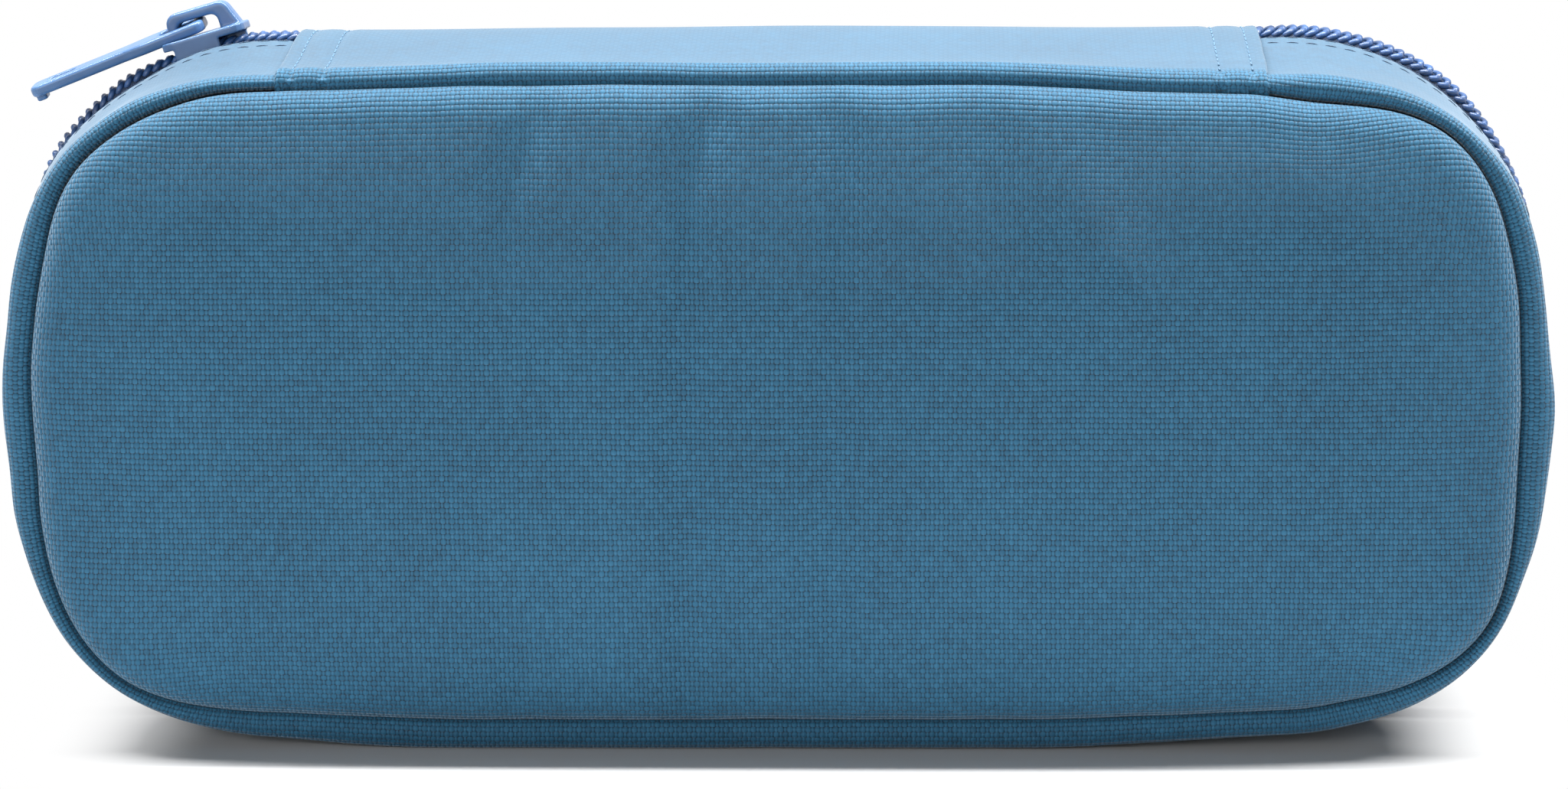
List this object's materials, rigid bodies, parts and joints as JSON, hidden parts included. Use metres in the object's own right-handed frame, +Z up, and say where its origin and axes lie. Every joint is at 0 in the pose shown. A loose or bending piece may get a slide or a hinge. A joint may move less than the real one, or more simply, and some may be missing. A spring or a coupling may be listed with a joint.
{
  "type": "pencil case",
  "caption": "Soft padded box pencil case: rounded fabric halves joined by a folding panel along the top, closed by a coil zip round the other sides with a sliding zip pull.",
  "frame": {"origin": "centre of the box's underside, on the surface that the case stands on", "axes": "+X to the right along the case's length, -Y out of the front half's face, +Z up towards the folding panel"},
  "size_m": [0.2214, 0.063, 0.1064],
  "materials": {
    "shell_fabric": "matte",
    "foam": "matte",
    "lining": "satin",
    "binding": "matte",
    "zip_tape": "matte",
    "zip_coil": "satin",
    "slider_enamel": "gloss"
  },
  "bodies": {
    "back_half": {"back_face_fabric": "shell_fabric", "back_face_foam": "foam", "back_face_lining": "lining", "back_gusset_fabric": "shell_fabric", "back_gusset_foam": "foam", "back_gusset_lining": "lining", "back_seam_binding": "binding", "back_zip_tape": "zip_tape", "back_zip_coil": "zip_coil", "back_hinge_panel": "shell_fabric", "back_hinge_foam": "foam", "back_hinge_lining": "lining"},
    "front_half": {"front_face_fabric": "shell_fabric", "front_face_foam": "foam", "front_face_lining": "lining", "front_gusset_fabric": "shell_fabric", "front_gusset_foam": "foam", "front_gusset_lining": "lining", "front_seam_binding": "binding", "front_zip_tape": "zip_tape", "front_zip_coil": "zip_coil", "front_hinge_panel": "shell_fabric", "front_hinge_foam": "foam", "front_hinge_lining": "lining"},
    "slider": {"slider_body": "slider_enamel"},
    "pull": {"slider_pull": "slider_enamel"}
  },
  "joints": [
    {"name": "lid_hinge", "type": "hinge", "parent": "back_half", "child": "front_half", "pos_m": [0, 0, 0.1033], "axis": [-1, 0, 0], "range_deg": [0, 180], "deforming": ["front_zip_tape", "front_zip_coil"]},
    {"name": "slider_travel", "type": "hinge", "parent": "back_half", "child": "slider", "pos_m": [-0.0735, 0, 0.0645], "axis": [0, -1, 0], "range_deg": [0, 70]},
    {"name": "pull_swing", "type": "hinge", "parent": "slider", "child": "pull", "pos_m": [-0.08486, 0, 0.10301], "axis": [0, 1, 0], "range_deg": [0, 150]}
  ],
  "couplings": [
    {"joint": "slider_travel", "follows": "lid_hinge", "ratio": 0.3888}
  ]
}
